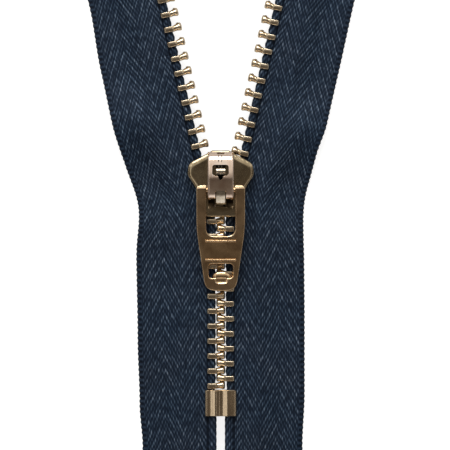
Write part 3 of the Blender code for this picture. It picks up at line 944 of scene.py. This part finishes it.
def build_crown():
    """The folded cover over the lock spring, open below, with its window, slots and notch."""
    crown = make("crown_cover_folded", *loft([crown_ring(y, z) for y, z in ROOF]), CROWN_BRASS)
    inner = CROWN_X - CROWN_WALL
    inside = [(2.0, 4.0), (11.05, 4.0), (11.05, 5.45), (10.7, 5.78), (10.2, 6.05), (9.4, 6.27),
              (6.7, 6.52), (4.5, 6.45), (2.0, 5.2)]
    cut(crown, stack(inside, [(-inner, 0), (inner, 0)], "x"))
    window = [(-1.52, 9.43), (-1.52, 7.85), (-1.15, 7.50), (-0.45, 7.40), (-0.08, 6.72),
              (0.08, 6.72), (0.45, 7.40), (1.10, 7.50), (1.45, 7.85), (1.45, 9.43)]
    window = rounded(window, [0.5, 0.15, 0.15, 0.12, 0.05, 0.05, 0.12, 0.15, 0.15, 0.5])
    cut(crown, stack(window, [(5.5, 0.0), (6.78, 0.0), (6.9, 0.03), (7.0, 0.10), (7.4, 0.2)]))
    cut(crown, block(-1.0, 1.0, 2.0, 4.71, 5, 8))
    notch = rounded([(-0.68, 11.35), (0.68, 11.35), (0.75, 12.5), (-0.75, 12.5)], 0.2)
    cut(crown, stack(notch, [(5.0, 0), (8.0, 0)]))
    for x in (-0.40, 0.16):
        cut(crown, stack([(x - 0.06, 9.95), (x + 0.06, 9.95), (x + 0.07, 11.6), (x - 0.07, 11.6)],
                         [(5.9, 0), (8.0, 0)]))
    slot = [(PIVOT_Y - BAR_ROOM, 4.0), (PIVOT_Y + BAR_ROOM, 4.0), (PIVOT_Y + BAR_ROOM, 5.5),
            (PIVOT_Y + 0.4, 5.9), (PIVOT_Y - 0.4, 5.9), (PIVOT_Y - BAR_ROOM, 5.5)]
    cut(crown, stack(rounded(slot, [0, 0, 0.3, 0.3, 0.3, 0.3]), [(-3, 0), (3, 0)], "x"))
    even_out(crown)
    # Painted shade inside the crown, on its walls and underside below the roof
    roof_y, roof_z = np.array(ROOF).T
    paint_shade(crown, lambda x, y, z: (abs(x) < inner + 0.03) * (y < 11.1)
           * smooth((np.interp(y, roof_y, roof_z) - 0.12 - z) / 0.15))
    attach(crown, "slider")
    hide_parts("crown_cover")


def build_spring():
    """A springy strip held at the front, over the tab's bar, with a tongue into the claw hole."""
    line = [(10.95, 4.50), (10.6, 4.85), (10.1, 5.10), (9.4, 5.45), (8.8, 5.92), (8.3, 6.16),
            (7.85, 5.98), (7.5, 5.40), (7.0, 5.05), (6.5, 5.12), (5.9, 5.72), (5.4, 5.96),
            (4.3, 5.98), (3.9, 5.86), (3.5, 5.60), (3.0, 5.24), (2.6, 4.93), (2.4, 4.62),
            (2.30, 4.2), (2.28, 3.60)]
    path = through(line, 6)
    upper, lower = [], []
    for i, point in enumerate(path):
        ahead = path[min(i + 1, len(path) - 1)] - path[max(i - 1, 0)]
        ahead /= np.linalg.norm(ahead)
        across = np.array([-ahead[1], ahead[0]]) * SPRING_HALF
        upper.append(tuple(point + across))
        lower.append(tuple(point - across))
    levels = slab_levels(-SPRING_WIDTH_HALF, SPRING_WIDTH_HALF, 0.07)
    spring = make("lock_spring_strip", *stack(upper + lower[::-1], levels, "x"), SPRING)
    even_out(spring)
    # Painted shade on the strip where it runs low under the crown's roof
    paint_shade(spring, lambda x, y, z: (y > 5.6) * smooth((5.98 - z) / 0.30))
    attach(spring, "lock_spring")
    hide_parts("lock_spring")


# ------------------------------------------------------------------- pull tab

TAB_HALF = 0.55
TAB_TILT = math.radians(4.3)
TAB_SIDE = [(3.9, 5.75), (4.40, 5.35), (4.40, -2.3), (2.95, -12.2), (2.45, -13.0), (1.4, -13.4)]
TAB_ROUNDING = [0.3, 0.3, 2.0, 0.8, 0.5, 0.8]


def build_tab():
    """A flat tab with two windows and two raised bars, hung on the bar that turns in the crown."""
    low, high = PIVOT_Z - TAB_HALF, PIVOT_Z + TAB_HALF
    outline = rounded(both_sides(TAB_SIDE), TAB_ROUNDING + TAB_ROUNDING[::-1])
    tab = make("pull_tab_plate", *stack(outline, slab_levels(low, high, 0.20)), TAB_BRASS)
    chamfer = [(5.10, high + 0.4), (5.10, high + 0.02), (5.22, high - 0.02), (5.95, high - 0.36),
               (5.95, high + 0.4)]
    cut(tab, stack(chamfer, [(-5, 0), (5, 0)], "x"))
    window = rounded([(-2.63, -3.44), (2.63, -3.44), (2.63, 8.0), (-2.63, 8.0)], [1.5, 1.5, 0, 0], 7)
    cut(tab, stack(window, hole_levels(low, high, 0.22)))
    lower = rounded([(-2.18, -11.06), (2.18, -11.06), (2.18, -8.5), (-2.18, -8.5)], 0.6)
    cut(tab, stack(lower, hole_levels(low, high, 0.26)))
    bar = []
    for k in range(24):
        a = math.radians(15 * k)
        bar.append((PIVOT_Y + BAR_RADIUS * math.cos(a), PIVOT_Z + BAR_RADIUS * math.sin(a)))
    add(tab, stack(bar, [(-3.6, 0), (3.6, 0)], "x"))
    for y in (-4.35, -7.8):
        rib = rounded([(-2.83, y - 0.2), (2.83, y - 0.2), (2.83, y + 0.2), (-2.83, y + 0.2)], 0.12)
        levels = [(high - 0.3, 0.0), (high, 0.0), (high + 0.08, -0.04), (high + 0.14, -0.12)]
        add(tab, stack(rib, levels))
    add(tab, ellipsoid((0.15, -10.85, high - 0.42), (1.62, 0.98, 0.50), 24, 36))
    cut(tab, ellipsoid((0.1, -11.55, high + 0.85), (1.95, 0.98, 1.15), 24, 36))
    groove = rounded([(-1.3, -11.82), (0.1, -11.92), (1.5, -11.82), (1.5, -11.74), (0.1, -11.80),
                      (-1.3, -11.74)], 0.03)
    cut(tab, stack(groove, [(high - 0.5, 0.0), (high + 0.3, 0.0)]))
    even_out(tab)
    pivot = world((0, PIVOT_Y, PIVOT_Z))
    tilt = Matrix.Translation(pivot) @ Matrix.Rotation(TAB_TILT, 4, "X") @ Matrix.Translation(-pivot)
    tab.data.transform(tilt)
    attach(tab, "pull_tab")
    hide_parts("pull_tab")


# ---------------------------------------------------------------------- stage

VIEW_WIDTH = 81.6  # what the camera takes in, at the zipper
VIEW_CENTRE = (0.78, -1.45)
CAMERA_HEIGHT = 600.0
FLOOR_GLOW, FLOOR_GLOW_SEEN = 0.25, 0.60  # given off to everything, and more for the camera
FLOOR_HALF, FLOOR_DROP = 1.5, 5e-5  # in metres: half the floor's side, and how far it lies below 0
BACKDROP = (0.93, 0.93, 0.94, 1)  # the sky where the camera sees it, not where metal reflects it
SENSOR = 36.0


def build_stage():
    """A pale floor. It gives off more light to the camera than to what the metal reflects."""
    mesh = bpy.data.meshes.new("floor")
    around = ((-1, -1), (1, -1), (1, 1), (-1, 1))
    corners = [(x * FLOOR_HALF, y * FLOOR_HALF, -FLOOR_DROP) for x, y in around]
    mesh.from_pydata(corners, [], [(0, 1, 2, 3)])
    floor = bpy.data.objects.new("floor", mesh)
    bpy.context.scene.collection.objects.link(floor)
    made, n, shader = new_material("floor_paper")
    shader.inputs["Base Color"].default_value = (0.40, 0.40, 0.40, 1)
    shader.inputs["Roughness"].default_value = 0.9
    shader.inputs["Specular IOR Level"].default_value = 0.1
    shader.inputs["Emission Color"].default_value = (1, 1, 1, 1)
    seen = n.add("ShaderNodeLightPath").outputs["Is Camera Ray"]
    glow = n.maths("ADD", n.maths("MULTIPLY", seen, FLOOR_GLOW_SEEN), FLOOR_GLOW)
    n.feed(shader.inputs["Emission Strength"], glow)
    mesh.materials.append(made)


def area_light(name, place, target, size, power, colour=(1, 1, 1)):
    """A rectangular lamp that faces its target, with place, target and size in millimetres."""
    light = bpy.data.lights.new(name, "AREA")
    light.shape = "RECTANGLE"
    light.size, light.size_y = size[0] * MM, size[1] * MM
    light.energy = power
    light.color = colour
    obj = bpy.data.objects.new(name, light)
    place, target = Vector(place) * MM, Vector(target) * MM
    obj.location = place
    obj.rotation_euler = (target - place).to_track_quat("-Z", "Y").to_euler()
    bpy.context.scene.collection.objects.link(obj)


def build_lights():
    """A key light past the zipper's upper end, two long side strips, and a sky bright on that side."""
    area_light("key", (-40, 330, 240), (0, 0, 0), (360, 150), 1.30, (1.0, 0.985, 0.96))
    area_light("left_strip", (-430, 0, 560), (0, 0, 0), (800, 110), 0.22, (1.0, 0.97, 0.93))
    area_light("right_strip", (430, 0, 460), (0, 0, 0), (800, 60), 0.10, (1.0, 0.97, 0.93))
    studio = bpy.data.worlds.new("studio")
    studio.use_nodes = True
    bpy.context.scene.world = studio
    n = Nodes(studio.node_tree)
    way = n.add("ShaderNodeTexCoord").outputs["Generated"]
    axes = n.add("ShaderNodeSeparateXYZ", {"Vector": way}).outputs
    height = n.maths("ADD", n.maths("MULTIPLY", axes["Y"], 0.5), 0.5)
    sky = n.ramp(height, [(0.0, (0.85, 0.82, 0.79)), (0.05, (0.66, 0.63, 0.60)),
                          (0.12, (0.18, 0.16, 0.145)), (0.35, (0.120, 0.102, 0.085)),
                          (0.52, (0.086, 0.073, 0.061)), (0.58, (0.16, 0.146, 0.132)),
                          (0.665, (0.80, 0.77, 0.73)), (0.80, (0.76, 0.74, 0.71)),
                          (1.0, (0.56, 0.55, 0.54))])
    seen = n.add("ShaderNodeLightPath").outputs["Is Camera Ray"]
    sky = n.mix(seen, sky, BACKDROP)
    n.feed(studio.node_tree.nodes["Background"].inputs["Color"], sky)


def build_camera():
    """A camera straight above the zipper, which takes in VIEW_WIDTH at the slider's top."""
    camera = bpy.data.cameras.new("camera")
    camera.sensor_width = SENSOR
    camera.lens = SENSOR * (CAMERA_HEIGHT - SLIDER_TOP) / VIEW_WIDTH
    camera.clip_start, camera.clip_end = 0.01, 20.0
    obj = bpy.data.objects.new("camera", camera)
    obj.location = world((*VIEW_CENTRE, CAMERA_HEIGHT))
    bpy.context.scene.collection.objects.link(obj)
    bpy.context.scene.camera = obj


build_stage()
build_lights()
build_camera()
build_tapes()
build_teeth()
build_bottom_stop()
build_top_stops()
build_slider_body()
build_crown()
build_spring()
build_tab()
bpy.context.scene.view_settings.view_transform = "Standard"
